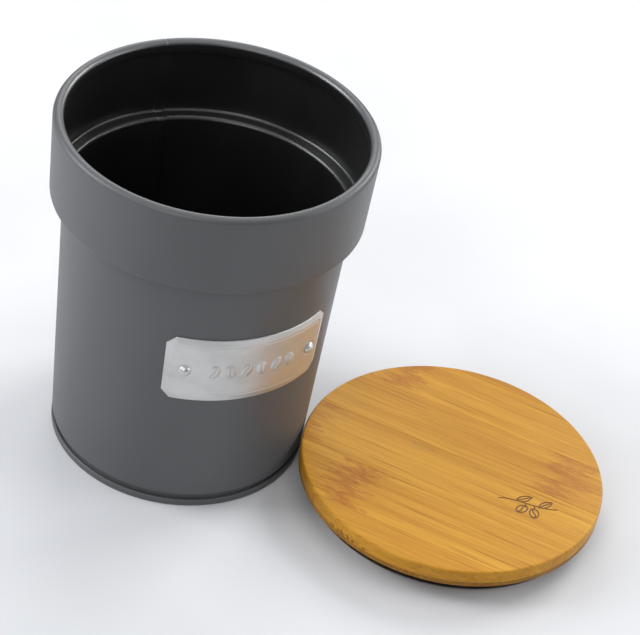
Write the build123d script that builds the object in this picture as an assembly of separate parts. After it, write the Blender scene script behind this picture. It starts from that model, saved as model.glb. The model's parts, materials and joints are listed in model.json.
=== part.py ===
from build123d import *
from math import cos, degrees, hypot, radians, sin
import os

# A round kitchen canister of painted sheet steel, with its laminated bamboo lid lying beside it.
# Millimetres, +Z up. The origin is on the tin's axis, in the plane it stands on. -Y is the front.

# Driving dimensions of the tin
TIN_HEIGHT = 130.5
COLLAR_RADIUS = 55.0        # outside of the collar, at the rim
COLLAR_BASE = 100.4         # height where the ledge meets the collar
LEDGE_RISE = 0.2            # the ledge climbs this much from the body to the collar
NECK_RADIUS = 49.5          # outside of the body, where it meets the ledge
DRAFT = 0.035               # the wall comes in by this much for each mm downwards
SHEET = 0.35                # thickness of the painted steel sheet

# Curled rim and ledge
MOUTH_RADIUS = 51.2         # inside of the curled rim, which the lid's seal grips
CURL_HEIGHT = 5.4
CURL_FILLET = 1.6
CURL_END = 53.4             # the curl's free edge stops short of the wall
LEDGE_FILLET = 1.4

# Double seam that joins the wall and the base, five folded layers of sheet
SEAM_RADIUS = 46.15
SEAM_HEIGHT = 2.6
FOLD_RADIUS = 0.36          # at mid sheet
FOLD_GAP = 0.03             # play between the layers
HOOK_PLAY = 0.15            # play at the end of each hook
NECK_FOOT = 3.4             # the wall necks in below here to make room for the seam
NECK_HEAD = 5.8
PANEL_HEIGHT = 3.9
PANEL_STEP_RADIUS = 36.0
PANEL_STEP = 0.8

# Welded side seam
LAP_AZIMUTH = 114.5
LAP_ANGLE = 4.0
NOTCH_WIDTH = 0.6
NOTCH_DEPTH = 0.25

# Label plate, in degrees round the body and in millimetres of height
LABEL_AZIMUTH = -61.9
LABEL_SPAN = 72.8
LABEL_BOTTOM = 50.6
LABEL_TOP = 77.3
LABEL_RAISE = 1.0           # its field stands this far off the body
LABEL_SHEET = 0.45
LABEL_BEVEL = 2.6           # width of its sloping border
LABEL_CLIP = 3.0
LABEL_GAP = 0.05
BEAN_COUNT = 6
BEAN_PITCH = 6.6            # degrees between the embossed beans
BEAN_SIZE = (1.9, 2.9, 0.6)  # half width, half length and height above the field

# Rivets that hold the label
RIVET_ANGLE = 28.0          # degrees from the label's centre
RIVET_HEIGHT = 63.6
RIVET_SHANK = 1.1
RIVET_HEAD = 2.1
RIVET_DOME = 1.3
RIVET_TAIL = 0.8
HOLE_PLAY = 0.05
SEAT_GAP = 0.06             # a flat rivet seat on a round wall

# Lid: three glued plies of bamboo strips, and a silicone seal in the lowest
LID_CENTRE = (100.0, -20.2)
LID_GRAIN = -23.0           # degrees from +X
LID_RADIUS = 55.0
PLUG_RADIUS = 48.6
PLUG_HEIGHT = 6.5
CORE_HEIGHT = 3.2
TOP_HEIGHT = 4.8
LID_ARRIS = 0.8
CORE_CHAMFER = 1.4
PLUG_CHAMFER = 0.8
TOP_GLUE_LINES = (-42.5, -19.0, 4.5, 28.0, 50.5)
CORE_GLUE_LINES = (-34.0, -11.0, 12.0, 35.0)
PLUG_GLUE_LINES = (-30.5, -7.0, 16.5, 39.0)

# Seal
GROOVE_RADIUS = 46.5
GROOVE_BOTTOM = 2.2
GROOVE_TOP = 4.8
SEAL_PLAY = 0.05
SEAL_RADIUS = 51.6          # the lips are 0.4 larger than the mouth, and bend to go in
LIP_RISE = 0.8
LIP_ROOT = 0.7
LIP_TIP = 0.4


def body_radius(z):
    """Outside radius of the body at height z."""
    return NECK_RADIUS - DRAFT * (COLLAR_BASE - LEDGE_RISE - z)


def collar_radius(z):
    """Outside radius of the collar at height z."""
    return COLLAR_RADIUS - DRAFT * (TIN_HEIGHT - z)


def unit(start, end):
    """Direction from start to end in the section plane."""
    length = hypot(end[0] - start[0], end[1] - start[1])
    return (end[0] - start[0]) / length, (end[1] - start[1]) / length


def parallel(points, radii, distance):
    """The line through the points, moved to its left by a distance, with its bend radii to match."""
    steps = [unit(a, b) for a, b in zip(points, points[1:])]
    before = [steps[0]] + steps
    after = steps + [steps[-1]]
    moved = []
    turns = []
    for (x, z), (ax, az), (bx, bz) in zip(points, before, after):
        spread = distance / (1 + ax * bx + az * bz)
        moved.append((x - spread * (az + bz), z + spread * (ax + bx)))
        turns.append(ax * bz - az * bx)
    bends = [radius - distance if turn > 0 else radius + distance
             for radius, turn in zip(radii, turns[1:-1])]
    return moved, bends


def sheet_ring(points, radii, angle=360.0):
    """A ring of sheet metal whose middle follows the line through the points."""
    left, left_bends = parallel(points, radii, SHEET / 2)
    right, right_bends = parallel(points, radii, -SHEET / 2)
    outline = left + right[::-1]
    bends = [0.0] + left_bends + [0.0, 0.0] + right_bends[::-1] + [0.0]
    section = make_face(Plane.XZ * FilletPolyline(*outline, radius=bends, close=True))
    return revolve(section, axis=Axis.Z, revolution_arc=angle)


def seam_layers():
    """Middle radii of the double seam's five layers, from the outside in."""
    outer = SEAM_RADIUS - SHEET / 2
    return [outer - layer * (SHEET + FOLD_GAP) for layer in range(5)]


def wall_line():
    """Middle of the wall's sheet: seam hook, neck, body, ledge, collar and curled rim."""
    _, hook, _, neck, _ = seam_layers()
    fold_floor = 1.5 * SHEET + FOLD_GAP
    rim_top = TIN_HEIGHT - SHEET / 2
    rim_floor = TIN_HEIGHT - CURL_HEIGHT + SHEET / 2
    ledge_foot = COLLAR_BASE - LEDGE_RISE
    points = [
        (hook, SEAM_HEIGHT - SHEET - HOOK_PLAY),
        (hook, fold_floor),
        (neck, fold_floor),
        (neck, NECK_FOOT),
        (body_radius(NECK_HEAD) - SHEET / 2, NECK_HEAD),
        (NECK_RADIUS - SHEET / 2, ledge_foot),
        (collar_radius(COLLAR_BASE) - SHEET / 2, COLLAR_BASE),
        (collar_radius(rim_top) - SHEET / 2, rim_top),
        (MOUTH_RADIUS + SHEET / 2, rim_top),
        (MOUTH_RADIUS + SHEET / 2, rim_floor),
        (CURL_END, rim_floor),
    ]
    radii = [FOLD_RADIUS, FOLD_RADIUS, 0.8, 1.2, LEDGE_FILLET, LEDGE_FILLET,
             CURL_FILLET, CURL_FILLET, CURL_FILLET]
    return points, radii


def side_seam_lap():
    """The strip inside the tin where the rolled sheet overlaps itself and is welded."""
    points, radii = wall_line()
    inner, bends = parallel(points[4:8], radii[4:6], 0.9 * SHEET)
    inner[0] = (body_radius(NECK_HEAD + 1) - 1.4 * SHEET, NECK_HEAD + 1)
    inner[-1] = (inner[-1][0], TIN_HEIGHT - CURL_HEIGHT)
    return Rot(0, 0, LAP_AZIMUTH - LAP_ANGLE / 2) * sheet_ring(inner, bends, LAP_ANGLE)


def rim_notch():
    """The small groove that the side seam leaves across the curled rim."""
    groove = Box(2 * CURL_HEIGHT, NOTCH_WIDTH, 2 * NOTCH_DEPTH)
    place = Pos(COLLAR_RADIUS - SHEET - CURL_FILLET, 0, TIN_HEIGHT)
    return Rot(0, 0, LAP_AZIMUTH) * place * groove


def wall_plane(azimuth, z, height=0.0):
    """A plane that touches the body's outside: its X runs round the body and its Z points out."""
    angle = radians(azimuth)
    outward = Vector(cos(angle), sin(angle), -DRAFT).normalized()
    around = Vector(-sin(angle), cos(angle), 0)
    foot = Vector(body_radius(z) * cos(angle), body_radius(z) * sin(angle), z)
    return Plane(origin=foot + outward * height, x_dir=around, z_dir=outward)


def rivet_planes(height=0.0):
    """The two rivets' planes, left one first, at a height off the body."""
    return [wall_plane(LABEL_AZIMUTH + turn, RIVET_HEIGHT, height) for turn in (-RIVET_ANGLE, RIVET_ANGLE)]


def rivet_holes():
    """Drills for both rivets' shanks, through the label and the wall."""
    drill = Cylinder(RIVET_SHANK + HOLE_PLAY, 20 * LABEL_RAISE)
    return [plane.location * drill for plane in rivet_planes()]


def body_shell():
    """One rolled and welded sheet, with the hook for the seam, the stepped collar and the curled rim."""
    points, radii = wall_line()
    shell = sheet_ring(points, radii) + side_seam_lap() - rim_notch()
    for drill in rivet_holes():
        shell -= drill
    return shell


def base_disc():
    """The base panel, folded round the wall's hook."""
    outer, _, cover, _, chuck = seam_layers()
    seam_top = SEAM_HEIGHT - SHEET / 2
    points = [
        (cover, 2 * SHEET + FOLD_GAP + HOOK_PLAY),
        (cover, seam_top),
        (outer, seam_top),
        (outer, SHEET / 2),
        (chuck, SHEET / 2),
        (chuck, PANEL_HEIGHT),
        (PANEL_STEP_RADIUS, PANEL_HEIGHT),
        (PANEL_STEP_RADIUS - 2 * PANEL_STEP, PANEL_HEIGHT - PANEL_STEP),
        (0, PANEL_HEIGHT - PANEL_STEP),
    ]
    return sheet_ring(points, [FOLD_RADIUS] * 4 + [0.9, PANEL_STEP, PANEL_STEP])


def label_block(raised, inset):
    """A block wrapped round the body, with a border that slopes up to its raised field."""
    low = LABEL_BOTTOM + inset
    high = LABEL_TOP - inset
    floor = LABEL_GAP - inset / 4
    edge = LABEL_SHEET - inset / 2
    profile = [
        (body_radius(low) + floor, low),
        (body_radius(low) + edge, low),
        (body_radius(low + LABEL_BEVEL) + raised, low + LABEL_BEVEL),
        (body_radius(high - LABEL_BEVEL) + raised, high - LABEL_BEVEL),
        (body_radius(high) + edge, high),
        (body_radius(high) + floor, high),
    ]
    half_span = LABEL_SPAN / 2 - degrees(inset / NECK_RADIUS)
    face = make_face(Plane.XZ * Polyline(*profile, close=True))
    block = Rot(0, 0, LABEL_AZIMUTH - half_span) * revolve(face, axis=Axis.Z, revolution_arc=2 * half_span)
    for end in (-1, 1):
        plane = wall_plane(LABEL_AZIMUTH + end * half_span, (low + high) / 2)
        for cutter in label_end_cutters(end, raised, edge, high - low):
            block -= plane.location * cutter
    return block


def label_end_cutters(end, raised, edge, height):
    """What shapes one end of a label block: a slope across the border and two clipped corners."""
    slope = (raised - edge) / LABEL_BEVEL
    wedge = Polyline(
        (-end * LABEL_BEVEL, raised),
        (end * LABEL_BEVEL, edge - slope * LABEL_BEVEL),
        (end * LABEL_BEVEL, 3 * raised),
        (-end * LABEL_BEVEL, 3 * raised),
        close=True,
    )
    cutters = [extrude(Plane.XZ * make_face(wedge), amount=height, both=True)]
    for side in (-1, 1):
        corner = side * height / 2
        clip = Polyline(
            (-end * LABEL_CLIP, corner),
            (end * LABEL_CLIP, corner - side * 2 * LABEL_CLIP),
            (end * LABEL_CLIP, corner + side * 2 * LABEL_CLIP),
            (-end * LABEL_CLIP, corner + side * 2 * LABEL_CLIP),
            close=True,
        )
        cutters.append(extrude(make_face(clip), amount=4 * LABEL_RAISE, both=True))
    return cutters


def bean():
    """One embossed coffee bean, half of it standing above its plane."""
    return scale(Sphere(1), by=BEAN_SIZE)


def label_plate():
    """The pressed label: raised field, sloping border, clipped corners and a row of beans."""
    plate = label_block(LABEL_RAISE, 0) - label_block(LABEL_RAISE - LABEL_SHEET, 2 * LABEL_SHEET)
    middle = (LABEL_BOTTOM + LABEL_TOP) / 2
    for place in range(BEAN_COUNT):
        azimuth = LABEL_AZIMUTH + (place - (BEAN_COUNT - 1) / 2) * BEAN_PITCH
        plate += wall_plane(azimuth, middle, LABEL_RAISE - LABEL_SHEET / 4).location * bean()
    for drill in rivet_holes():
        plate -= drill
    return plate


def rivet(plane):
    """A round-headed rivet through the label and the wall, with its tail flattened inside."""
    grip = LABEL_RAISE + SHEET + SEAT_GAP
    dome = 2 * SEAT_GAP / 3
    dome_radius = (RIVET_HEAD ** 2 + RIVET_DOME ** 2) / (2 * RIVET_DOME)
    head = Pos(0, 0, dome + RIVET_DOME - dome_radius) * Sphere(dome_radius)
    head &= Pos(0, 0, dome) * Cylinder(RIVET_HEAD, RIVET_DOME, align=(Align.CENTER, Align.CENTER, Align.MIN))
    hanging = (Align.CENTER, Align.CENTER, Align.MAX)
    shank = Pos(0, 0, dome) * Cylinder(RIVET_SHANK, grip + dome, align=hanging)
    tail = Pos(0, 0, -grip) * Cylinder(RIVET_HEAD, RIVET_TAIL, align=(Align.CENTER, Align.CENTER, Align.MAX))
    return plane.location * (head + shank + tail)


def turned(*profile):
    """A solid turned about +Z from the outline of half its section."""
    return revolve(make_face(Plane.XZ * Polyline(*profile, close=True)), axis=Axis.Z)


def top_ply():
    """The lid's top ply, with its upper edge eased."""
    low = PLUG_HEIGHT + CORE_HEIGHT
    high = low + TOP_HEIGHT
    disc = turned((0, low), (LID_RADIUS, low), (LID_RADIUS, high), (0, high))
    return fillet(disc.edges().group_by(Axis.Z)[-1], LID_ARRIS)


def core_ply():
    """The lid's middle ply, chamfered below."""
    low = PLUG_HEIGHT
    high = low + CORE_HEIGHT
    return turned((0, low), (LID_RADIUS - CORE_CHAMFER, low), (LID_RADIUS, low + CORE_CHAMFER),
                  (LID_RADIUS, high), (0, high))


def plug_ply():
    """The lid's lowest ply, turned down to fit the mouth and grooved for the seal."""
    return turned((0, 0), (PLUG_RADIUS - PLUG_CHAMFER, 0), (PLUG_RADIUS, PLUG_CHAMFER),
                  (PLUG_RADIUS, GROOVE_BOTTOM), (GROOVE_RADIUS, GROOVE_BOTTOM),
                  (GROOVE_RADIUS, GROOVE_TOP), (PLUG_RADIUS, GROOVE_TOP),
                  (PLUG_RADIUS, PLUG_HEIGHT), (0, PLUG_HEIGHT))


def lid_place(turn=0.0):
    """Where the lid lies, turned by its grain and a further angle."""
    return Pos(*LID_CENTRE, 0) * Rot(0, 0, LID_GRAIN + turn)


def strips(ply, glue_lines, turn=0.0):
    """A ply cut along its glue lines into separate strips."""
    edges = (-2 * LID_RADIUS,) + glue_lines + (2 * LID_RADIUS,)
    pieces = []
    for low, high in zip(edges, edges[1:]):
        band = Pos(0, (low + high) / 2, 0) * Box(4 * LID_RADIUS, high - low, 4 * LID_RADIUS)
        pieces.append(lid_place(turn) * (ply & band))
    return pieces


def seal_ring():
    """A silicone ring in the plug's groove, with two lips that wipe the mouth."""
    low = GROOVE_BOTTOM + SEAL_PLAY
    high = GROOVE_TOP - SEAL_PLAY
    root = PLUG_RADIUS - 2 * SEAL_PLAY
    ring = turned((GROOVE_RADIUS + SEAL_PLAY, low), (root, low),
                  (SEAL_RADIUS, low + LIP_RISE), (SEAL_RADIUS, low + LIP_RISE + LIP_TIP),
                  (root, low + LIP_ROOT), (root, high - LIP_ROOT),
                  (SEAL_RADIUS, high + LIP_RISE - LIP_TIP), (SEAL_RADIUS, high + LIP_RISE),
                  (root, high), (GROOVE_RADIUS + SEAL_PLAY, high))
    return lid_place() * ring


def numbered(name, pieces):
    """Names a row of alike pieces name_1, name_2 and so on."""
    return {f"{name}_{number}": piece for number, piece in enumerate(pieces, 1)}


left_rivet_plane, right_rivet_plane = rivet_planes(LABEL_RAISE)
parts = {
    "body_shell": body_shell(),
    "base_disc": base_disc(),
    "label_plate": label_plate(),
    "label_rivet_left": rivet(left_rivet_plane),
    "label_rivet_right": rivet(right_rivet_plane),
    **numbered("lid_top_strip", strips(top_ply(), TOP_GLUE_LINES)),
    **numbered("lid_core_strip", strips(core_ply(), CORE_GLUE_LINES, turn=90.0)),
    **numbered("lid_plug_strip", strips(plug_ply(), PLUG_GLUE_LINES)),
    "seal_ring": seal_ring(),
}

os.makedirs("parts", exist_ok=True)
for name, solid in parts.items():
    export_step(solid, f"parts/{name}.step")
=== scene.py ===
import json
from math import atan2, ceil, cos, degrees, exp, hypot, pi, radians, sin, sqrt, tan

import bmesh
import bpy
import numpy as np
from mathutils import Matrix, Vector


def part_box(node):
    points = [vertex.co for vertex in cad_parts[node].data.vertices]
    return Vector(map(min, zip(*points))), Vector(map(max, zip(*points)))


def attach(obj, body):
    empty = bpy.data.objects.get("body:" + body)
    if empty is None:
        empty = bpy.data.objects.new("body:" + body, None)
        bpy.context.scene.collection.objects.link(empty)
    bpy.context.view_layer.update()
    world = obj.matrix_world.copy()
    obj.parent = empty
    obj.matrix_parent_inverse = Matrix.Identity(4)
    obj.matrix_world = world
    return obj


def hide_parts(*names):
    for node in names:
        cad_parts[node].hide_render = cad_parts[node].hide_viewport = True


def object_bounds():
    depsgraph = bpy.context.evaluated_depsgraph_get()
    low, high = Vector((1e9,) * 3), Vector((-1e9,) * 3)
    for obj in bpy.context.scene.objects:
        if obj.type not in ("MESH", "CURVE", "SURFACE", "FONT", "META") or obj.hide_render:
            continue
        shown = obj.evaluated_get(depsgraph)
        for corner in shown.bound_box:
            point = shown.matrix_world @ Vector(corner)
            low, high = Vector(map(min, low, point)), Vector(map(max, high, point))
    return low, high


# Looks of a powder-coated steel canister, its riveted label plate and its bamboo lid.
# Lengths in the mesh code are in millimetres and scaled by MM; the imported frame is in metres.
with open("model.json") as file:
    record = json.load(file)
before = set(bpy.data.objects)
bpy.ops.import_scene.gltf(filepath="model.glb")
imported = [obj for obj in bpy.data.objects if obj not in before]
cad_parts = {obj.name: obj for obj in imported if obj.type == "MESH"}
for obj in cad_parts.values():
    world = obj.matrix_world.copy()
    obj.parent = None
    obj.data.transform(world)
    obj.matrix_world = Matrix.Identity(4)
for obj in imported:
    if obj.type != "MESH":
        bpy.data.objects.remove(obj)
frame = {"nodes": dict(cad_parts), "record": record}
cad_low, cad_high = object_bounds()
MM = 0.001


def size_of(node):
    """Extent of a CAD node's box, in millimetres."""
    low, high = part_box(node)
    return (high - low) / MM


def middle_of(node):
    """Centre of a CAD node's box, in millimetres."""
    low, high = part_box(node)
    return (high + low) / 2 / MM


def azimuth_of(point):
    """Angle of a point round the tin's axis, in degrees."""
    return degrees(atan2(point.y, point.x))


def union_box(nodes):
    """Box round several CAD nodes, in millimetres."""
    boxes = [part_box(node) for node in nodes]
    low = [min(box[0][axis] for box in boxes) / MM for axis in range(3)]
    high = [max(box[1][axis] for box in boxes) / MM for axis in range(3)]
    return Vector(low), Vector(high)


def nodes_named(prefix):
    """The CAD nodes of one numbered row, in order."""
    found = [name for name in frame["nodes"] if name.startswith(prefix)]
    return sorted(found, key=lambda name: int(name.rsplit("_", 1)[1]))


# The tin, from the frame and from the sheet's own sizes
MOUNTS = {mount["name"]: mount for mount in frame["record"]["mounts"]}
TIN_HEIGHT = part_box("body_shell")[1].z / MM
MOUTH_RADIUS = MOUNTS["mouth"]["dims"]["r_mm"]
SEAM_RADIUS = size_of("base_disc").x / 2
DRAFT = 0.035
SHEET = 0.35
COLLAR_RADIUS = MOUTH_RADIUS + 3.8
COLLAR_BASE = TIN_HEIGHT - 30.1
LEDGE_RISE = 0.2
NECK_RADIUS = COLLAR_RADIUS - 5.5
CURL_HEIGHT = 5.4
CURL_FILLET = 1.6
CURL_END = COLLAR_RADIUS - 1.6
LEDGE_FILLET = 1.4
SEAM_HEIGHT = 2.6
FOLD_RADIUS = 0.36
FOLD_GAP = 0.03
HOOK_PLAY = 0.15
NECK_FOOT = 3.4
NECK_HEAD = 5.8
PANEL_HEIGHT = 3.9
PANEL_STEP_RADIUS = 36.0
PANEL_STEP = 0.8
LAP_AZIMUTH = 114.5
LAP_ANGLE = 4.0
NOTCH_HALF_ANGLE = 0.32
NOTCH_DEPTH = 0.28
WELD_DEPTH = 0.06

# The label and its rivets
LEFT_RIVET = middle_of("label_rivet_left")
RIGHT_RIVET = middle_of("label_rivet_right")
LABEL_AZIMUTH = (azimuth_of(LEFT_RIVET) + azimuth_of(RIGHT_RIVET)) / 2
RIVET_ANGLE = (azimuth_of(RIGHT_RIVET) - azimuth_of(LEFT_RIVET)) / 2
RIVET_HEIGHT = (LEFT_RIVET.z + RIGHT_RIVET.z) / 2
LABEL_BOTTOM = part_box("label_plate")[0].z / MM
LABEL_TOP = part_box("label_plate")[1].z / MM
LABEL_SPAN = 72.8
LABEL_RAISE = 1.0
LABEL_SHEET = 0.45
LABEL_GAP = 0.05
LABEL_BEVEL = 2.6
LABEL_CLIP = 3.0
LABEL_CELL = 0.24
BEAN_COUNT = 6
BEAN_PITCH = 6.6
BEAN_HALF_WIDTH = 1.9
BEAN_HALF_LENGTH = 2.9
BEAN_RISE = 0.55
BEAN_LEAN = 16.0
RIVET_HEAD = 2.1
RIVET_DOME = 1.3
RIVET_SHANK = 1.1
RIVET_TAIL = 0.8
SEAT_GAP = 0.06

# The lid, from the frame, with its grain and its glue lines
TOP_STRIPS = nodes_named("lid_top_strip_")
CORE_STRIPS = nodes_named("lid_core_strip_")
PLUG_STRIPS = nodes_named("lid_plug_strip_")
TOP_LOW, TOP_HIGH = union_box(TOP_STRIPS)
CORE_LOW, CORE_HIGH = union_box(CORE_STRIPS)
PLUG_LOW, PLUG_HIGH = union_box(PLUG_STRIPS)
LID_CENTRE = middle_of("seal_ring")
LID_RADIUS = (TOP_HIGH.x - TOP_LOW.x) / 2
PLUG_RADIUS = (PLUG_HIGH.x - PLUG_LOW.x) / 2
SEAL_RADIUS = size_of("seal_ring").x / 2
LID_GRAIN = -23.0
TOP_GLUE_LINES = (-42.5, -19.0, 4.5, 28.0, 50.5)
CORE_GLUE_LINES = (-34.0, -11.0, 12.0, 35.0)
PLUG_GLUE_LINES = (-30.5, -7.0, 16.5, 39.0)
LID_ARRIS = 0.8
CORE_CHAMFER = 1.4
PLUG_CHAMFER = 0.8
GROOVE_RADIUS = 46.5
GROOVE_BOTTOM = 2.2
GROOVE_TOP = 4.8
SEAL_PLAY = 0.05
LIP_RISE = 0.8
LIP_ROOT = 0.7
LIP_TIP = 0.4
GLUE_CHAMFER = 0.1

# The twig burnt into the lid, in millimetres along and across the grain
MARK_STRIP = 3
MARK_CENTRE = (31.5, -4.0)
MARK_HALF_SIZE = (12.5, 7.5)
MARK_CELL = 0.14
MARK_LINE = 0.27
MARK_DEPTH = 0.14

ARC_STEP = radians(9)
SHARP_ANGLE = radians(38)


# --- outlines -----------------------------------------------------------------------------------

def unit(start, end):
    """Direction from start to end in the section plane."""
    length = hypot(end[0] - start[0], end[1] - start[1])
    return (end[0] - start[0]) / length, (end[1] - start[1]) / length


def parallel(points, radii, distance):
    """The line through the points, moved to its left by a distance, with its bend radii to match."""
    steps = [unit(a, b) for a, b in zip(points, points[1:])]
    before = [steps[0]] + steps
    after = steps + [steps[-1]]
    moved = []
    turns = []
    for (x, z), (ax, az), (bx, bz) in zip(points, before, after):
        spread = distance / (1 + ax * bx + az * bz)
        moved.append((x - spread * (az + bz), z + spread * (ax + bx)))
        turns.append(ax * bz - az * bx)
    bends = [radius - distance if turn > 0 else radius + distance
             for radius, turn in zip(radii, turns[1:-1])]
    return moved, bends


def corner_arc(before, corner, after, radius):
    """Points of the arc that rounds one corner."""
    back = Vector(unit(corner, before))
    ahead = Vector(unit(corner, after))
    half = back.angle(ahead) / 2
    if radius < 1e-4 or half > pi / 2 - 1e-3:
        return [Vector(corner)]
    centre = Vector(corner) + (back + ahead).normalized() * radius / sin(half)
    start = Vector(corner) + back * radius / tan(half) - centre
    end = Vector(corner) + ahead * radius / tan(half) - centre
    sweep = start.angle_signed(end)
    steps = max(2, ceil(abs(sweep) / ARC_STEP))
    return [centre + Matrix.Rotation(-sweep * step / steps, 2) @ start for step in range(steps + 1)]


def rounded(points, radii):
    """A line with each inner corner rounded."""
    line = [Vector(points[0])]
    for before, corner, after, radius in zip(points, points[1:], points[2:], radii):
        line += corner_arc(before, corner, after, radius)
    return line + [Vector(points[-1])]


def divided(line, longest):
    """The line with extra points along its long stretches."""
    made = [line[0]]
    for start, end in zip(line, line[1:]):
        parts = max(1, ceil((end - start).length / longest))
        made += [start.lerp(end, part / parts) for part in range(1, parts + 1)]
    return made


def sheet_sides(points, radii, longest):
    """Both faces of a sheet whose middle follows the line through the points."""
    return [divided(rounded(*parallel(points, radii, side * SHEET / 2)), longest) for side in (1, -1)]


# --- meshes -------------------------------------------------------------------------------------

def piece_from(mesh, name, materials):
    """Makes an object of a finished bmesh, with its sharp edges marked."""
    bmesh.ops.remove_doubles(mesh, verts=mesh.verts, dist=1e-5)
    bmesh.ops.recalc_face_normals(mesh, faces=mesh.faces)
    for face in mesh.faces:
        face.smooth = True
    for edge in mesh.edges:
        if len(edge.link_faces) == 2 and edge.calc_face_angle() > SHARP_ANGLE:
            edge.smooth = False
    bmesh.ops.scale(mesh, vec=(MM,) * 3, verts=mesh.verts)
    data = bpy.data.meshes.new(name)
    mesh.to_mesh(data)
    mesh.free()
    for material in materials:
        data.materials.append(material)
    piece = bpy.data.objects.new(name, data)
    bpy.context.scene.collection.objects.link(piece)
    return piece


def place_piece(piece, body, slot, *nodes):
    """Lets a piece ride on its body and stand for its CAD nodes."""
    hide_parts(*nodes)
    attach(piece, body)
    return piece


def even_azimuths(count):
    """Angles round a full turn, in degrees."""
    return [360.0 * step / count for step in range(count)]


def revolve_outline(mesh, outline, azimuths, shape=None):
    """Adds a closed ring whose section is the outline. Returns its faces by outline segment."""
    rings = []
    for azimuth in azimuths:
        angle = radians(azimuth)
        ring = []
        for index, (radius, z) in enumerate(outline):
            if shape:
                radius, z = shape(index, radius, z, azimuth)
            ring.append(mesh.verts.new((radius * cos(angle), radius * sin(angle), z)))
        rings.append(ring)
    faces = []
    for ring, after in zip(rings, rings[1:] + rings[:1]):
        for index in range(len(outline)):
            nxt = (index + 1) % len(outline)
            faces.append((index, mesh.faces.new((ring[index], after[index], after[nxt], ring[nxt]))))
    return faces


def turned_piece(name, outline, materials, count=192, place=None):
    """A turned piece from the outline of half its section."""
    mesh = bmesh.new()
    revolve_outline(mesh, outline, even_azimuths(count))
    if place:
        bmesh.ops.transform(mesh, matrix=place, verts=mesh.verts)
    return piece_from(mesh, name, materials)


# --- tin ----------------------------------------------------------------------------------------

def body_radius(z):
    """Outside radius of the body at height z."""
    return NECK_RADIUS - DRAFT * (COLLAR_BASE - LEDGE_RISE - z)


def collar_radius(z):
    """Outside radius of the collar at height z."""
    return COLLAR_RADIUS - DRAFT * (TIN_HEIGHT - z)


def seam_layers():
    """Middle radii of the double seam's five layers, from the outside in."""
    outer = SEAM_RADIUS - SHEET / 2
    return [outer - layer * (SHEET + FOLD_GAP) for layer in range(5)]


def wall_line():
    """Middle of the wall's sheet: seam hook, neck, body, ledge, collar and curled rim."""
    _, hook, _, neck, _ = seam_layers()
    fold_floor = 1.5 * SHEET + FOLD_GAP
    rim_top = TIN_HEIGHT - SHEET / 2
    rim_floor = TIN_HEIGHT - CURL_HEIGHT + SHEET / 2
    points = [
        (hook, SEAM_HEIGHT - SHEET - HOOK_PLAY),
        (hook, fold_floor),
        (neck, fold_floor),
        (neck, NECK_FOOT),
        (body_radius(NECK_HEAD) - SHEET / 2, NECK_HEAD),
        (NECK_RADIUS - SHEET / 2, COLLAR_BASE - LEDGE_RISE),
        (collar_radius(COLLAR_BASE) - SHEET / 2, COLLAR_BASE),
        (collar_radius(rim_top) - SHEET / 2, rim_top),
        (MOUTH_RADIUS + SHEET / 2, rim_top),
        (MOUTH_RADIUS + SHEET / 2, rim_floor),
        (CURL_END, rim_floor),
    ]
    radii = [FOLD_RADIUS, FOLD_RADIUS, 0.8, 1.2, LEDGE_FILLET, LEDGE_FILLET,
             CURL_FILLET, CURL_FILLET, CURL_FILLET]
    return points, radii


def wall_azimuths():
    """Even steps round the tin, with closer ones across the side seam."""
    seam = (0, 0.12, 0.24, 0.36, 0.6, LAP_ANGLE / 2 - 0.5, LAP_ANGLE / 2 - 0.25, LAP_ANGLE / 2)
    near = {LAP_AZIMUTH + side * offset for offset in seam for side in (-1, 1)}
    far = {azimuth for azimuth in even_azimuths(240) if abs(azimuth - LAP_AZIMUTH) > LAP_ANGLE / 2 + 0.3}
    return sorted(near | far)


def wall_shape(inner_count):
    """How the side seam changes the wall: a lap inside, a weld line outside and a notch in the rim."""
    def shape(index, radius, z, azimuth):
        """Moves one point of the outline at one azimuth."""
        offset = abs(azimuth - LAP_AZIMUTH)
        notch = exp(-(offset / NOTCH_HALF_ANGLE) ** 2)
        on_wall = NECK_HEAD + 1 < z < TIN_HEIGHT - CURL_HEIGHT
        if on_wall and index < inner_count:
            radius -= 0.9 * SHEET * ease((LAP_ANGLE / 2 - offset) / 0.5)
        if on_wall and index >= inner_count:
            radius -= WELD_DEPTH * notch
        top = max(0.0, 1 - (TIN_HEIGHT - z) / CURL_FILLET)
        return radius, z - NOTCH_DEPTH * notch * top
    return shape


def tin_wall(paint, painted_shade_inside):
    """The rolled wall, painted outside; its inside takes a darker copy of the paint as painted shade."""
    inner, outer = sheet_sides(*wall_line(), longest=8.0)
    outline = inner + outer[::-1]
    mesh = bmesh.new()
    for index, face in revolve_outline(mesh, outline, wall_azimuths(), wall_shape(len(inner))):
        # The inner faces and the curl's inner strip take the darker copy: painted shade inside the tin.
        in_mouth = outline[index].x < MOUTH_RADIUS + CURL_FILLET / 2 and outline[index].y > COLLAR_BASE
        face.material_index = 1 if index < len(inner) - 1 or in_mouth else 0
    piece = piece_from(mesh, "tin_wall", [paint, painted_shade_inside])
    return place_piece(piece, "tin", "powder_coat", "body_shell")


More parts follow.
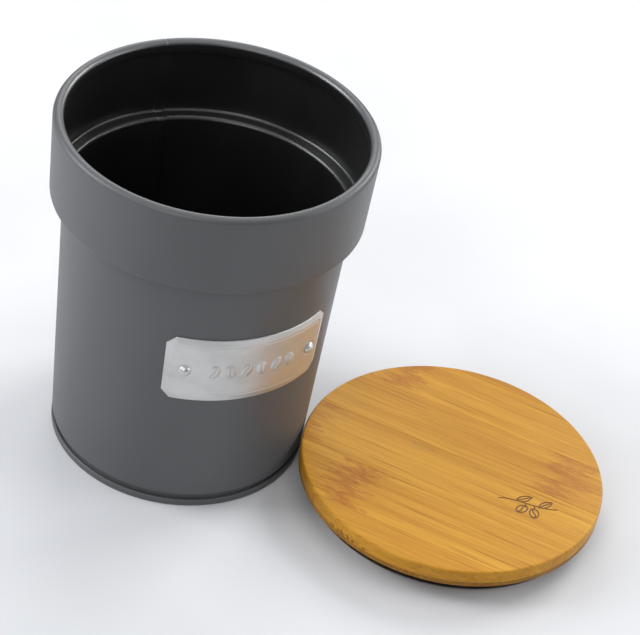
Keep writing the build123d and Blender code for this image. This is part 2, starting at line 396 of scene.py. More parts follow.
def tin_base(paint, painted_shade_inside):
    """The base panel, folded round the wall's hook."""
    outer, _, cover, _, chuck = seam_layers()
    seam_top = SEAM_HEIGHT - SHEET / 2
    points = [
        (cover, 2 * SHEET + FOLD_GAP + HOOK_PLAY),
        (cover, seam_top),
        (outer, seam_top),
        (outer, SHEET / 2),
        (chuck, SHEET / 2),
        (chuck, PANEL_HEIGHT),
        (PANEL_STEP_RADIUS, PANEL_HEIGHT),
        (PANEL_STEP_RADIUS - 2 * PANEL_STEP, PANEL_HEIGHT - PANEL_STEP),
        (0, PANEL_HEIGHT - PANEL_STEP),
    ]
    upper, lower = sheet_sides(points, [FOLD_RADIUS] * 4 + [0.9, PANEL_STEP, PANEL_STEP], longest=8.0)
    mesh = bmesh.new()
    outline = upper + lower[::-1]
    for index, face in revolve_outline(mesh, outline, even_azimuths(192)):
        # The panel's upper face, inside the tin, takes the darker copy: painted shade on the tin's floor.
        on_panel = outline[index][0] < SEAM_RADIUS - 3 and index >= len(upper)
        face.material_index = 1 if on_panel else 0
    piece = piece_from(mesh, "tin_base", [paint, painted_shade_inside])
    return place_piece(piece, "tin", "powder_coat", "base_disc")


# --- label --------------------------------------------------------------------------------------

def wall_plane(azimuth, z, height):
    """Matrix of a plane on the body: X runs round it, Y up and Z out, at a height off it."""
    angle = radians(azimuth)
    outward = Vector((cos(angle), sin(angle), -DRAFT)).normalized()
    around = Vector((-sin(angle), cos(angle), 0))
    up = outward.cross(around)
    foot = Vector((body_radius(z) * cos(angle), body_radius(z) * sin(angle), z)) + outward * height
    turn = Matrix((around, up, outward)).transposed()
    return Matrix.Translation(foot) @ turn.to_4x4()


LABEL_MIDDLE = (LABEL_BOTTOM + LABEL_TOP) / 2
LABEL_HALF_HEIGHT = (LABEL_TOP - LABEL_BOTTOM) / 2
LABEL_ARC_RADIUS = body_radius(LABEL_MIDDLE)
LABEL_HALF_WIDTH = radians(LABEL_SPAN / 2) * LABEL_ARC_RADIUS


def border_distance(x, y):
    """How far a point of the flat label lies inside its outline, with its clipped corners."""
    side = min(LABEL_HALF_WIDTH - abs(x), LABEL_HALF_HEIGHT - abs(y))
    corner = (LABEL_HALF_WIDTH - abs(x) + LABEL_HALF_HEIGHT - abs(y) - LABEL_CLIP) / sqrt(2)
    return max(0.0, min(side, corner))


def ease(value):
    """A smooth step from 0 to 1."""
    value = min(1.0, max(0.0, value))
    return value * value * (3 - 2 * value)


def bean_height(x, y):
    """Height of the embossed beans over the label's field."""
    pitch = radians(BEAN_PITCH) * LABEL_ARC_RADIUS
    place = min(BEAN_COUNT - 1, max(0, round(x / pitch + (BEAN_COUNT - 1) / 2)))
    lean = radians(BEAN_LEAN if place % 2 else -BEAN_LEAN)
    dx = x - (place - (BEAN_COUNT - 1) / 2) * pitch
    across = dx * cos(lean) + y * sin(lean)
    along = y * cos(lean) - dx * sin(lean)
    reach = hypot(across / BEAN_HALF_WIDTH, along / BEAN_HALF_LENGTH)
    dome = BEAN_RISE * sqrt(max(0.0, 1 - reach ** 2)) * ease((1.08 - reach) / 0.2)
    crease = across - 0.3 * sin(pi * along / BEAN_HALF_LENGTH)
    return dome - 0.34 * exp(-(crease / 0.24) ** 2) * ease((0.94 - reach) / 0.2)


def label_height(x, y):
    """Height of the label's face over the body."""
    inside = border_distance(x, y)
    slope = LABEL_SHEET + (LABEL_RAISE - LABEL_SHEET) * min(1.0, inside / LABEL_BEVEL)
    edge = 0.1 * max(0.0, 1 - inside / 0.2) ** 2
    line = 0.14 * exp(-((inside - LABEL_BEVEL - 0.35) / 0.24) ** 2)
    rivet = abs(x) - radians(RIVET_ANGLE) * LABEL_ARC_RADIUS
    ring = hypot(rivet, y - (RIVET_HEIGHT - LABEL_MIDDLE)) - RIVET_HEAD - 0.3
    dimple = 0.16 * exp(-(ring / 0.34) ** 2)
    return slope - edge - line - dimple + bean_height(x, y)


def grid_lines(half):
    """Grid positions across the label: close at the border, even over the field."""
    border = [0, 0.07, 0.14, 0.22, 0.5, 1.0, 1.5, 2.0, LABEL_BEVEL - 0.15, LABEL_BEVEL]
    steps = ceil(2 * (half - LABEL_BEVEL) / LABEL_CELL)
    field = [-half + LABEL_BEVEL + 2 * (half - LABEL_BEVEL) * step / steps for step in range(1, steps)]
    return [-half + offset for offset in border] + field + [half - offset for offset in border[::-1]]


def flat_label():
    """The label's outline as a flat grid, with cuts along its clipped corners and their bevels."""
    mesh = bmesh.new()
    columns = grid_lines(LABEL_HALF_WIDTH)
    rows = grid_lines(LABEL_HALF_HEIGHT)
    verts = [[mesh.verts.new((x, y, 0)) for y in rows] for x in columns]
    for left, right in zip(verts, verts[1:]):
        for low in range(len(rows) - 1):
            mesh.faces.new((left[low], right[low], right[low + 1], left[low + 1]))
    for across in (-1, 1):
        for up in (-1, 1):
            for inset in (0, 0.22, LABEL_BEVEL):
                offset = LABEL_CLIP / sqrt(2) + inset
                corner = Vector((across * LABEL_HALF_WIDTH, up * LABEL_HALF_HEIGHT, 0))
                outward = Vector((across, up, 0)).normalized()
                geometry = mesh.verts[:] + mesh.edges[:] + mesh.faces[:]
                bmesh.ops.bisect_plane(mesh, geom=geometry, plane_co=corner - outward * offset,
                                       plane_no=outward, clear_outer=inset == 0)
    return mesh


def on_body(x, y, height):
    """A point of the flat label, wrapped on the body."""
    z = LABEL_MIDDLE + y
    angle = radians(LABEL_AZIMUTH) + x / LABEL_ARC_RADIUS
    radius = body_radius(z) + height
    return Vector((radius * cos(angle), radius * sin(angle), z))


def label_plate(metal):
    """The pressed label plate, a sheet of even thickness."""
    mesh = flat_label()
    mesh.verts.index_update()
    front = list(mesh.verts)
    faces = [[vert.index for vert in face.verts] for face in mesh.faces]
    border = [[vert.index for vert in edge.verts] for edge in mesh.edges if edge.is_boundary]
    flat = [vert.co.copy() for vert in front]
    back = []
    for vert, (x, y, _) in zip(front, flat):
        height = label_height(x, y)
        vert.co = on_body(x, y, height)
        back.append(mesh.verts.new(on_body(x, y, max(LABEL_GAP, height - LABEL_SHEET + LABEL_GAP))))
    for face in faces:
        mesh.faces.new([back[index] for index in reversed(face)])
    for start, end in border:
        mesh.faces.new((front[start], front[end], back[end], back[start]))
    piece = piece_from(mesh, "label", [metal])
    return place_piece(piece, "tin", "label_tinplate", "label_plate")


def rivet_outline():
    """Half section of a rivet along its own axis: flattened tail, shank and domed head."""
    grip = LABEL_RAISE + SHEET + SEAT_GAP
    seat = 2 * SEAT_GAP / 3
    dome_radius = (RIVET_HEAD ** 2 + RIVET_DOME ** 2) / (2 * RIVET_DOME)
    top = seat + RIVET_DOME
    sweep = atan2(RIVET_HEAD, dome_radius - RIVET_DOME)
    dome = [(dome_radius * sin(sweep * step / 14), top - dome_radius * (1 - cos(sweep * step / 14)))
            for step in range(14, -1, -1)]
    tail = -grip - RIVET_TAIL
    return [(0, tail), (RIVET_HEAD - 0.25, tail), (RIVET_HEAD, tail + 0.25), (RIVET_HEAD, -grip),
            (RIVET_SHANK, -grip), (RIVET_SHANK, seat)] + dome


def rivets(metal):
    """Both rivets that hold the label."""
    for name, side in (("left", -1), ("right", 1)):
        place = wall_plane(LABEL_AZIMUTH + side * RIVET_ANGLE, RIVET_HEIGHT, LABEL_RAISE)
        piece = turned_piece(f"rivet_{name}", rivet_outline(), [metal], count=48, place=place)
        place_piece(piece, "tin", "rivet_steel", f"label_rivet_{name}")


# --- lid ----------------------------------------------------------------------------------------

def lid_matrix(turn):
    """From the lid's own frame, with X along a ply's grain, to the part's frame."""
    centre = Vector((LID_CENTRE.x, LID_CENTRE.y, 0))
    return Matrix.Translation(centre) @ Matrix.Rotation(radians(LID_GRAIN + turn), 4, "Z")


def top_section():
    """Outer line of the top ply, from its underside to its eased upper edge."""
    low, high = TOP_LOW.z, TOP_HIGH.z
    arc = corner_arc((LID_RADIUS, low), (LID_RADIUS, high), (0, high), LID_ARRIS)
    return [(LID_RADIUS, low)] + [tuple(point) for point in arc]


def core_section():
    """Outer line of the middle ply, chamfered below."""
    low, high = CORE_LOW.z, CORE_HIGH.z
    return [(LID_RADIUS - CORE_CHAMFER, low), (LID_RADIUS, low + CORE_CHAMFER), (LID_RADIUS, high)]


def plug_section():
    """Outer line of the lowest ply, with the seal's groove."""
    return [(PLUG_RADIUS - PLUG_CHAMFER, PLUG_LOW.z), (PLUG_RADIUS, PLUG_LOW.z + PLUG_CHAMFER),
            (PLUG_RADIUS, GROOVE_BOTTOM), (GROOVE_RADIUS, GROOVE_BOTTOM),
            (GROOVE_RADIUS, GROOVE_TOP), (PLUG_RADIUS, GROOVE_TOP), (PLUG_RADIUS, PLUG_HIGH.z)]


def ply_disc(section):
    """A whole ply as a disc, closed above and below."""
    mesh = bmesh.new()
    rings = []
    for azimuth in even_azimuths(256):
        angle = radians(azimuth)
        rings.append([mesh.verts.new((radius * cos(angle), radius * sin(angle), z)) for radius, z in section])
    for ring, after in zip(rings, rings[1:] + rings[:1]):
        for low in range(len(section) - 1):
            mesh.faces.new((ring[low], after[low], after[low + 1], ring[low + 1]))
    mesh.faces.new([ring[0] for ring in reversed(rings)])
    mesh.faces.new([ring[-1] for ring in rings])
    return mesh


def cut_ply(mesh, across, outward):
    """Cuts a ply along a glue line, closes the cut and eases its edges."""
    geometry = mesh.verts[:] + mesh.edges[:] + mesh.faces[:]
    cut = bmesh.ops.bisect_plane(mesh, geom=geometry, plane_co=(0, across, 0),
                                 plane_no=(0, outward, 0), clear_outer=True)
    loop = [item for item in cut["geom_cut"] if isinstance(item, bmesh.types.BMEdge)]
    bmesh.ops.contextual_create(mesh, geom=loop)
    bmesh.ops.bevel(mesh, geom=loop, offset=GLUE_CHAMFER, segments=1, affect="EDGES", clamp_overlap=True)


def strip_mesh(section, low, high):
    """One strip of a ply between two glue lines. A line beyond the ply's edge cuts nothing."""
    mesh = ply_disc(section)
    if low > -LID_RADIUS:
        cut_ply(mesh, low, -1)
    if high < LID_RADIUS:
        cut_ply(mesh, high, 1)
    return mesh


# --- the twig burnt into the lid ----------------------------------------------------------------

def bezier(start, pull_start, pull_end, end, steps=24):
    """Points along a cubic curve."""
    points = []
    for step in range(steps + 1):
        t = step / steps
        weights = ((1 - t) ** 3, 3 * t * (1 - t) ** 2, 3 * t * t * (1 - t), t ** 3)
        corners = (start, pull_start, pull_end, end)
        points.append(tuple(sum(w * corner[axis] for w, corner in zip(weights, corners)) for axis in (0, 1)))
    return points


def leaf(base, length, width, heading):
    """Two sides and the midrib of a leaf."""
    turn = Matrix.Rotation(radians(heading), 2)
    tip = Vector(base) + turn @ Vector((length, 0))
    lines = [bezier(base, base, tip, Vector(base) + turn @ Vector((0.8 * length, 0)))]
    for side in (-1, 1):
        first = Vector(base) + turn @ Vector((0.3 * length, side * width))
        second = Vector(base) + turn @ Vector((0.75 * length, side * width * 0.7))
        lines.append(bezier(base, first, second, tip))
    return lines


def bean_lines(centre, half_length, half_width, heading):
    """Outline and crease of a coffee bean."""
    turn = Matrix.Rotation(radians(heading), 2)
    middle = Vector(centre)
    ring = [middle + turn @ Vector((half_length * cos(a), half_width * sin(a)))
            for a in np.linspace(0, 2 * pi, 41)]
    crease = [middle + turn @ Vector((half_length * t, 0.3 * half_width * sin(pi * t)))
              for t in np.linspace(-0.9, 0.9, 17)]
    return [ring, crease]


def twig_lines():
    """Every line of the twig, round the mark's centre."""
    stem = bezier((-10.5, -3.2), (-5.0, 0.6), (2.0, -1.6), (9.5, 2.6), steps=48)
    lines = [stem]
    lines += leaf((-4.6, -0.9), 6.2, 2.0, 48)
    lines += leaf((3.6, 0.2), 6.0, 1.9, 58)
    lines += bean_lines((-1.4, -4.0), 2.3, 1.6, 62)
    lines += bean_lines((3.2, -3.7), 2.3, 1.6, 112)
    lines.append(bezier((-1.2, -0.9), (-1.0, -1.2), (-0.7, -1.5), (-0.5, -1.9), steps=6))
    lines.append(bezier((2.1, -0.5), (2.3, -0.9), (2.4, -1.2), (2.4, -1.5), steps=6))
    return lines


def burn_depths(points):
    """How deep the twig is burnt at each point, from 0 to 1."""
    nearest = np.full(len(points), 1e9)
    for line in twig_lines():
        line = np.array([tuple(point) for point in line], float)
        for start, step in zip(line, line[1:] - line[:-1]):
            along = np.clip((points - start) @ step / (step @ step + 1e-12), 0, 1)
            gap = np.linalg.norm(points - start - along[:, None] * step, axis=1)
            nearest = np.minimum(nearest, gap)
    reach = np.clip((MARK_LINE + 0.1 - nearest) / 0.2, 0, 1)
    return reach * reach * (3 - 2 * reach)


def engrave_twig(mesh):
    """Swaps the strip's upper face for one with the twig sunk into a fine grid."""
    burn = mesh.verts.layers.float.new("burn")
    top = max((face for face in mesh.faces if face.normal.z > 0.9), key=lambda face: face.calc_area())
    rim = list(top.edges)
    bmesh.ops.delete(mesh, geom=[top], context="FACES_ONLY")
    counts = [ceil(2 * half / MARK_CELL) for half in MARK_HALF_SIZE]
    offsets = [np.linspace(-half, half, count + 1) for half, count in zip(MARK_HALF_SIZE, counts)]
    local = np.array([(x, y) for x in offsets[0] for y in offsets[1]])
    depths = burn_depths(local)
    verts = []
    for (x, y), depth in zip(local, depths):
        vert = mesh.verts.new((MARK_CENTRE[0] + x, MARK_CENTRE[1] + y, TOP_HIGH.z - MARK_DEPTH * depth))
        vert[burn] = depth
        verts.append(vert)
    wide = counts[1] + 1
    for column in range(counts[0]):
        for row in range(counts[1]):
            first = column * wide + row
            mesh.faces.new([verts[first + step] for step in (0, wide, wide + 1, 1)])
    border = {edge for vert in verts for edge in vert.link_edges if edge.is_boundary}
    bmesh.ops.triangle_fill(mesh, edges=rim + list(border), use_beauty=True, normal=(0, 0, 1))


def ply_pieces(ply, nodes, section, glue_lines, turn, looks):
    """All strips of one ply, each with its own finish."""
    edges = (-2 * LID_RADIUS,) + glue_lines + (2 * LID_RADIUS,)
    for number, (node, low, high) in enumerate(zip(nodes, edges, edges[1:]), 1):
        mesh = strip_mesh(section, low, high)
        if ply == "top" and number == MARK_STRIP:
            engrave_twig(mesh)
        bmesh.ops.transform(mesh, matrix=lid_matrix(turn), verts=mesh.verts)
        material = bamboo(f"bamboo_{ply}_{number}", turn, seed=number + 7 * len(ply), **looks[number - 1])
        piece = piece_from(mesh, f"{ply}_strip_{number}", [material])
        place_piece(piece, "lid", f"bamboo_{ply}", node)


def seal_ring(rubber):
    """The silicone ring with two lips in the plug's groove."""
    low = GROOVE_BOTTOM + SEAL_PLAY
    high = GROOVE_TOP - SEAL_PLAY
    root = PLUG_RADIUS - 2 * SEAL_PLAY
    outline = [(GROOVE_RADIUS + SEAL_PLAY, low), (root, low),
               (SEAL_RADIUS, low + LIP_RISE), (SEAL_RADIUS, low + LIP_RISE + LIP_TIP),
               (root, low + LIP_ROOT), (root, high - LIP_ROOT),
               (SEAL_RADIUS, high + LIP_RISE - LIP_TIP), (SEAL_RADIUS, high + LIP_RISE),
               (root, high), (GROOVE_RADIUS + SEAL_PLAY, high)]
    place = lid_matrix(0)
    piece = turned_piece("seal", outline, [rubber], count=256, place=place)
    place_piece(piece, "lid", "silicone", "seal_ring")


# --- materials ----------------------------------------------------------------------------------

def linear(red, green, blue):
    """A display colour as the shader's linear one."""
    parts = [(part / 255) / 12.92 if part < 10.3 else ((part / 255 + 0.055) / 1.055) ** 2.4
             for part in (red, green, blue)]
    return (*parts, 1.0)


def node(tree, kind, inputs=None, **settings):
    """Adds a node, with its settings, and its inputs as values or as links."""
    made = tree.nodes.new(kind)
    for key, value in settings.items():
        setattr(made, key, value)
    for key, value in (inputs or {}).items():
        if isinstance(value, bpy.types.NodeSocket):
            tree.links.new(value, made.inputs[key])
        else:
            made.inputs[key].default_value = value
    return made


def calc(tree, operation, first, second=0.0):
    """One step of arithmetic."""
    return node(tree, "ShaderNodeMath", {0: first, 1: second}, operation=operation).outputs[0]


def spread(tree, value, low, high, to_low=0.0, to_high=1.0):
    """A value eased from one range to another."""
    inputs = {"Value": value, "From Min": low, "From Max": high, "To Min": to_low, "To Max": to_high}
    return node(tree, "ShaderNodeMapRange", inputs, interpolation_type="SMOOTHSTEP").outputs[0]


def blend_colours(tree, share, first, second, blend="MIX"):
    """A mix of two colours."""
    made = node(tree, "ShaderNodeMix", {0: share, 6: first, 7: second}, data_type="RGBA", blend_type=blend)
    return made.outputs[2]


def noise_at(tree, vector, scale, detail=2.0, roughness=0.5):
    """Noise with separate scales along each axis, in cycles per unit."""
    scaled = node(tree, "ShaderNodeVectorMath", {0: vector, 1: scale}, operation="MULTIPLY").outputs[0]
    inputs = {"Vector": scaled, "Scale": 1.0, "Detail": detail, "Roughness": roughness}
    return node(tree, "ShaderNodeTexNoise", inputs).outputs[0]


def bump(tree, height, strength, distance, under=None):
    """A bump in metres from a height."""
    inputs = {"Height": height, "Strength": strength, "Distance": distance}
    if under is not None:
        inputs["Normal"] = under
    return node(tree, "ShaderNodeBump", inputs).outputs[0]


def new_material(name):
    """A material with an empty tree and its millimetre coordinates."""
    material = bpy.data.materials.new(name)
    material.use_nodes = True
    tree = material.node_tree
    tree.nodes.clear()
    place = node(tree, "ShaderNodeTexCoord").outputs["Object"]
    in_millimetres = node(tree, "ShaderNodeVectorMath", {0: place, "Scale": 1 / MM}, operation="SCALE")
    millimetres = in_millimetres.outputs[0]
    return material, tree, millimetres


def finish_surface(tree, inputs):
    """Ends a tree in its shader and output."""
    shader = node(tree, "ShaderNodeBsdfPrincipled", inputs)
    node(tree, "ShaderNodeOutputMaterial", {"Surface": shader.outputs[0]})


def powder_coat(name, colour, fleck, roughness, specular, rim=None):
    """Satin powder coat: fine orange peel, faint clouds and flecks, and the rim's colour on the roll."""
    material, tree, place = new_material(name)
    cloud = noise_at(tree, place, (0.035, 0.035, 0.02), detail=3)
    peel = noise_at(tree, place, (2.1, 2.1, 2.1), detail=3)
    grain = noise_at(tree, place, (7.0, 7.0, 7.0), detail=2)
    lighter = [part * 1.12 for part in colour[:3]] + [1]
    tone = blend_colours(tree, spread(tree, cloud, 0.3, 0.7), colour, lighter)
    flecks = spread(tree, grain, 0.62, 0.74, 0.0, 0.22)
    paint = blend_colours(tree, flecks, tone, fleck)
    if rim:
        height = node(tree, "ShaderNodeSeparateXYZ", {0: place}).outputs[2]
        on_roll = spread(tree, height, TIN_HEIGHT - 1.6, TIN_HEIGHT - 0.35)
        paint = blend_colours(tree, on_roll, paint, rim)
    gloss = calc(tree, "ADD", spread(tree, cloud, 0.25, 0.75, -0.04, 0.05), roughness)
    gloss = calc(tree, "ADD", gloss, spread(tree, peel, 0.3, 0.7, -0.03, 0.03))
    relief = bump(tree, peel, 0.5, 0.03 * MM)
    relief = bump(tree, grain, 0.35, 0.008 * MM, relief)
    finish_surface(tree, {"Base Color": paint, "Roughness": gloss, "Normal": relief,
                          "Specular IOR Level": specular})
    return material


def brushed_metal(name, colour, warm, roughness):
    """Bright tinplate, brushed along the label, with fine scratches and smudges."""
    material, tree, place = new_material(name)
    brush = noise_at(tree, place, (0.12, 0.12, 9.0), detail=4, roughness=0.6)
    scratch = noise_at(tree, place, (0.5, 0.5, 3.0), detail=2)
    smudge = noise_at(tree, place, (0.09, 0.09, 0.14), detail=3)
    tint = blend_colours(tree, spread(tree, smudge, 0.3, 0.7), colour, warm)
    tint = blend_colours(tree, spread(tree, brush, 0.35, 0.75, 0.0, 0.16), tint, (0.3, 0.3, 0.29, 1))
    gloss = calc(tree, "ADD", spread(tree, brush, 0.3, 0.7, -0.05, 0.06), roughness)
    gloss = calc(tree, "ADD", gloss, spread(tree, smudge, 0.35, 0.7, -0.03, 0.07))
    relief = bump(tree, brush, 0.35, 0.01 * MM)
    relief = bump(tree, scratch, 0.2, 0.02 * MM, relief)
    finish_surface(tree, {"Base Color": tint, "Metallic": 0.88, "Roughness": gloss, "Normal": relief})
    return material


def silicone(name):
    """Dark silicone with a dusty bloom."""
    material, tree, place = new_material(name)
    bloom = noise_at(tree, place, (0.4, 0.4, 0.4), detail=4)
    skin = noise_at(tree, place, (3.0, 3.0, 3.0), detail=2)
    clean = (0.035, 0.034, 0.034, 1)
    dusty = (0.07, 0.068, 0.065, 1)
    tint = blend_colours(tree, spread(tree, bloom, 0.35, 0.7), clean, dusty)
    gloss = spread(tree, bloom, 0.3, 0.7, 0.38, 0.55)
    finish_surface(tree, {"Base Color": tint, "Roughness": gloss, "Normal": bump(tree, skin, 0.3, 0.02 * MM)})
    return material


BAMBOO_LIGHT = linear(207, 152, 42)
BAMBOO_MIDDLE = linear(188, 131, 26)
BAMBOO_DARK = linear(161, 102, 13)
BAMBOO_VEIN = linear(122, 70, 16)
KNUCKLE = linear(158, 87, 4)
BURNT = linear(84, 42, 13)


def along_grain(tree, place, turn):
    """Coordinates from the lid's centre: X along a ply's grain, Y across it, Z up."""
    centred = node(tree, "ShaderNodeVectorMath", {0: place, 1: (LID_CENTRE.x, LID_CENTRE.y, 0)},
                   operation="SUBTRACT").outputs[0]
    turned = {"Vector": centred, "Rotation": (0, 0, -radians(LID_GRAIN + turn))}
    return node(tree, "ShaderNodeMapping", turned).outputs[0]


def knuckle_mask(tree, grain, along, where, width):
    """A band across the strip where the cane had a node, with a ragged outline."""
    wander = noise_at(tree, grain, (0.05, 0.3, 0.3), detail=2)
    ragged = noise_at(tree, grain, (0.25, 1.6, 1.6), detail=3)
    shift = calc(tree, "ADD", spread(tree, wander, 0.25, 0.75, -width, width),
                 spread(tree, ragged, 0.2, 0.8, -width, width))
    distance = calc(tree, "ABSOLUTE", calc(tree, "ADD", calc(tree, "SUBTRACT", along, where), shift))
    return spread(tree, distance, 0.2 * width, 1.7 * width, 1.0, 0.0)


def bamboo(name, turn, seed, tone=0.0, knuckles=(), dark_edge=0.0, blemish=False, depth=1.0):
    """Laminated bamboo: long fibres, vein dashes that end as dots, tone bands and knuckles; a depth under 1
    darkens the whole strip as painted shade.
    """
    material, tree, place = new_material(name)
    grain = along_grain(tree, place, turn)
    shifted = node(tree, "ShaderNodeVectorMath", {0: grain, 1: (37.0 * seed, 11.3 * seed, 5.7 * seed)},
                   operation="ADD").outputs[0]
    along = node(tree, "ShaderNodeSeparateXYZ", {0: grain})
    bands = noise_at(tree, shifted, (0.006, 0.16, 0.16), detail=2)
    streaks = noise_at(tree, shifted, (0.018, 0.75, 0.75), detail=4, roughness=0.62)
    fibres = noise_at(tree, shifted, (0.06, 3.4, 3.4), detail=3, roughness=0.6)
    scaled = node(tree, "ShaderNodeVectorMath", {0: shifted, 1: (0.022, 0.95, 0.95)}, operation="MULTIPLY")
    cells = node(tree, "ShaderNodeTexVoronoi", {"Vector": scaled.outputs[0], "Scale": 1.0})
    veins = cells.outputs["Distance"]

    body = calc(tree, "ADD", calc(tree, "MULTIPLY", bands, 0.5), calc(tree, "MULTIPLY", streaks, 0.5))
    body = calc(tree, "ADD", body, tone)
    colour = blend_colours(tree, spread(tree, body, 0.3, 0.58), BAMBOO_LIGHT, BAMBOO_MIDDLE)
    colour = blend_colours(tree, spread(tree, body, 0.5, 0.8), colour, BAMBOO_DARK)
    colour = blend_colours(tree, spread(tree, fibres, 0.46, 0.7, 0.0, 0.5), colour, BAMBOO_DARK)
    vein_strength = spread(tree, streaks, 0.3, 0.6, 0.1, 0.62)
    vein_mask = calc(tree, "MULTIPLY", spread(tree, veins, 0.1, 0.3, 1.0, 0.0), vein_strength)
    colour = blend_colours(tree, vein_mask, colour, BAMBOO_VEIN)
    for where, width, strength in knuckles:
        mask = knuckle_mask(tree, shifted_to(tree, grain, seed), along.outputs[0], where, width)
        speckle = noise_at(tree, shifted, (0.5, 1.5, 1.5), detail=4, roughness=0.7)
        mask = calc(tree, "MULTIPLY", mask, spread(tree, speckle, 0.3, 0.62, 0.35 * strength, strength))
        colour = blend_colours(tree, mask, colour, KNUCKLE)
    if dark_edge:
        colour = blend_colours(tree, edge_dashes(tree, along, shifted, dark_edge), colour, BURNT)
    if blemish:
        colour = blend_colours(tree, blemish_mask(tree, along), colour, linear(140, 112, 62))
    burn = node(tree, "ShaderNodeAttribute", attribute_name="burn").outputs["Fac"]
    colour = blend_colours(tree, calc(tree, "MULTIPLY", burn, 0.9), colour, BURNT)
    # Multiplies the colour by the depth grey: painted shade on the lower plies.
    colour = blend_colours(tree, 1.0, colour, (depth, depth, depth, 1), blend="MULTIPLY")

    streak_gloss = spread(tree, streaks, 0.3, 0.7, 0.0, 0.1)
    gloss = calc(tree, "ADD", streak_gloss, spread(tree, vein_mask, 0.0, 1.0, 0.44, 0.56))
    relief = bump(tree, fibres, 0.4, 0.02 * MM)
    relief = bump(tree, vein_mask, -0.5, 0.03 * MM, relief)
    finish_surface(tree, {"Base Color": colour, "Roughness": gloss, "Normal": relief,
                          "Specular IOR Level": 0.32})
    return material


def shifted_to(tree, grain, seed):
    """Coordinates moved by a strip's own seed, for its knuckle's outline."""
    offset = (3.1 * seed, 17.7 * seed, 9.1 * seed)
    return node(tree, "ShaderNodeVectorMath", {0: grain, 1: offset}, operation="ADD").outputs[0]


def edge_dashes(tree, along, grain, where):
    """Dark burnt dashes low on the strip's rim, round one place along it."""
    reach_from = calc(tree, "ABSOLUTE", calc(tree, "SUBTRACT", along.outputs[0], where))
    near = spread(tree, reach_from, 3.0, 13.0, 1.0, 0.0)
    low = spread(tree, along.outputs[2], TOP_LOW.z + 0.6, TOP_LOW.z + 2.6, 1.0, 0.0)
    dashes = spread(tree, noise_at(tree, grain, (0.7, 0.7, 1.3), detail=2), 0.5, 0.58)
    return calc(tree, "MULTIPLY", calc(tree, "MULTIPLY", near, low), dashes)


def blemish_mask(tree, along):
    """A faint long ring, a filled pore in the bamboo's skin."""
    x = calc(tree, "DIVIDE", calc(tree, "ADD", along.outputs[0], 12.7), 4.6)
    y = calc(tree, "DIVIDE", calc(tree, "SUBTRACT", along.outputs[1], 2.2), 1.2)
    reach = calc(tree, "SQRT", calc(tree, "ADD", calc(tree, "MULTIPLY", x, x), calc(tree, "MULTIPLY", y, y)))
    ring = spread(tree, calc(tree, "ABSOLUTE", calc(tree, "SUBTRACT", reach, 0.85)), 0.0, 0.26, 0.5, 0.0)
    return calc(tree, "MAXIMUM", ring, spread(tree, reach, 0.5, 1.0, 0.1, 0.0))


TOP_LOOKS = (
    dict(tone=0.02, dark_edge=-17.0),
    dict(tone=0.0, knuckles=((-27.0, 5.5, 0.85),)),
    dict(tone=-0.05, knuckles=((-56.0, 5.0, 0.7),), blemish=True),
    dict(tone=0.0, knuckles=((38.0, 5.5, 0.7),)),
    dict(tone=-0.02, knuckles=((-35.0, 5.0, 0.75),)),
    dict(tone=0.09),
)
# The core strips are a darker copy of the bamboo (depth about 0.6): painted shade on the lid's lower edge
# band.
CORE_LOOKS = (
    dict(tone=0.1, depth=0.62),
    dict(tone=0.06, depth=0.6, knuckles=((-40.0, 5.0, 0.6),)),
    dict(tone=0.11, depth=0.62),
    dict(tone=0.05, depth=0.64, knuckles=((46.0, 5.0, 0.6),)),
    dict(tone=0.09, depth=0.62),
)
# The plug strips are a barely darker copy (depth 0.95): painted shade under the lid.
PLUG_LOOKS = (
    dict(tone=0.02, depth=0.95),
    dict(tone=-0.04, depth=0.95, knuckles=((12.0, 5.0, 0.8),)),
    dict(tone=0.03, depth=0.95),
    dict(tone=-0.02, depth=0.95, knuckles=((-30.0, 5.0, 0.8),)),
    dict(tone=0.05, depth=0.95),
)


PAINT = linear(80, 81, 83)


def floor_material():
    """A pale matt tabletop with the faintest mottling."""
    material, tree, place = new_material("pale_floor")
    mottle = noise_at(tree, place, (0.012, 0.012, 0.012), detail=3)
    tint = blend_colours(tree, spread(tree, mottle, 0.3, 0.7), linear(206, 207, 210), linear(212, 213, 216))
    finish_surface(tree, {"Base Color": tint, "Roughness": 0.62})
    return material


# --- stage --------------------------------------------------------------------------------------

def pale_floor():
    """A wide pale floor under the tin and the lid."""
    reach = 40 * COLLAR_RADIUS
    mesh = bmesh.new()
    bmesh.ops.create_grid(mesh, x_segments=8, y_segments=8, size=reach)
    floor = piece_from(mesh, "floor", [floor_material()])
    floor.location.z = cad_low.z - 0.05 * MM


def soft_light(name, place, size, power, colour=(1, 1, 1)):
    """A square soft light aimed at the tin's middle. Places are in collar radii from the tin's foot."""
    data = bpy.data.lights.new(name, "AREA")
    data.size = size * COLLAR_RADIUS * MM
    data.energy = power
    data.color = colour
    light = bpy.data.objects.new(name, data)
    light.location = Vector(place) * COLLAR_RADIUS * MM
    target = Vector((0.8, 0, 1)) * COLLAR_RADIUS * MM
    light.rotation_euler = (target - light.location).to_track_quat("-Z", "Y").to_euler()
    bpy.context.scene.collection.objects.link(light)


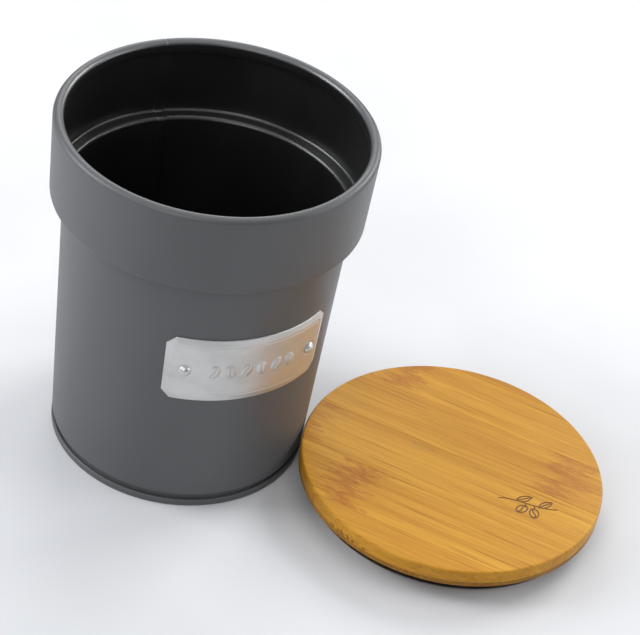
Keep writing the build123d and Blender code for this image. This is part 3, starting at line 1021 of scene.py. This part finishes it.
def studio():
    """A pale sky, darker at the horizon, with softboxes overhead, at both sides, behind and in front."""
    world = bpy.data.worlds.new("studio")
    world.use_nodes = True
    tree = world.node_tree
    direction = node(tree, "ShaderNodeTexCoord").outputs["Generated"]
    height = node(tree, "ShaderNodeSeparateXYZ", {0: direction}).outputs[2]
    sky = blend_colours(tree, spread(tree, height, 0.1, 0.7), (0.12, 0.125, 0.135, 1), (0.4, 0.41, 0.42, 1))
    tree.links.new(sky, tree.nodes["Background"].inputs["Color"])
    bpy.context.scene.world = world
    soft_light("overhead", (0, 1, 17), 12, 1.8)
    soft_light("left_side", (-13, 0, 9), 8, 5.2, (0.96, 0.98, 1))
    soft_light("back_right", (10.7, 9.9, 9), 8, 4.4, (1, 0.99, 0.97))
    soft_light("back", (-1, 15, 9), 8, 2.2)
    soft_light("right_side", (15, -1, 7), 8, 2.1)
    soft_light("front_fill", (-5, -13, 10), 8, 2.0)


# Where the camera stands, in collar radii from the tin's foot, and how it is turned, in degrees
CAMERA_PLACE = (0.0, -11.184, 9.632)
CAMERA_YAW = 4.17
CAMERA_PITCH = 37.529
CAMERA_ROLL = 10.6
CAMERA_LENS = 123.75


def make_camera():
    """A long lens from the front and above, rolled so that the tin leans left."""
    data = bpy.data.cameras.new("camera")
    data.sensor_width = 36.0
    data.lens = CAMERA_LENS
    camera = bpy.data.objects.new("camera", data)
    yaw, pitch, roll = radians(CAMERA_YAW), radians(CAMERA_PITCH), radians(CAMERA_ROLL)
    ahead = Vector((sin(yaw) * cos(pitch), cos(yaw) * cos(pitch), -sin(pitch)))
    right = Vector((cos(yaw), -sin(yaw), 0))
    up = right.cross(ahead)
    camera_x = right * cos(roll) + up * sin(roll)
    camera_y = up * cos(roll) - right * sin(roll)
    turn = Matrix((camera_x, camera_y, -ahead)).transposed().to_4x4()
    camera.matrix_world = Matrix.Translation(Vector(CAMERA_PLACE) * COLLAR_RADIUS * MM) @ turn
    bpy.context.scene.collection.objects.link(camera)
    bpy.context.scene.camera = camera


make_camera()
studio()
pale_floor()
paint = powder_coat("powder_coat_outside", PAINT, linear(108, 109, 111), 0.42, 0.5)
# A darker copy of the outside paint for the tin's inside: painted shade of the deep well, with the outside
# colour kept on the roll.
painted_shade_inside = powder_coat("powder_coat_painted_shade_inside", linear(20, 20, 21), linear(34, 34, 35), 0.36, 1.0, PAINT)
tinplate = brushed_metal("brushed_tinplate", (0.66, 0.66, 0.655, 1), (0.6, 0.595, 0.58, 1), 0.41)
rivet_metal = brushed_metal("rivet_metal", (0.68, 0.68, 0.67, 1), (0.62, 0.61, 0.6, 1), 0.38)
tin_wall(paint, painted_shade_inside)
tin_base(paint, painted_shade_inside)
label_plate(tinplate)
rivets(rivet_metal)
ply_pieces("top", TOP_STRIPS, top_section(), TOP_GLUE_LINES, 0.0, TOP_LOOKS)
ply_pieces("core", CORE_STRIPS, core_section(), CORE_GLUE_LINES, 90.0, CORE_LOOKS)
ply_pieces("plug", PLUG_STRIPS, plug_section(), PLUG_GLUE_LINES, 0.0, PLUG_LOOKS)
seal_ring(silicone("seal_silicone"))
bpy.context.scene.view_settings.view_transform = "Standard"
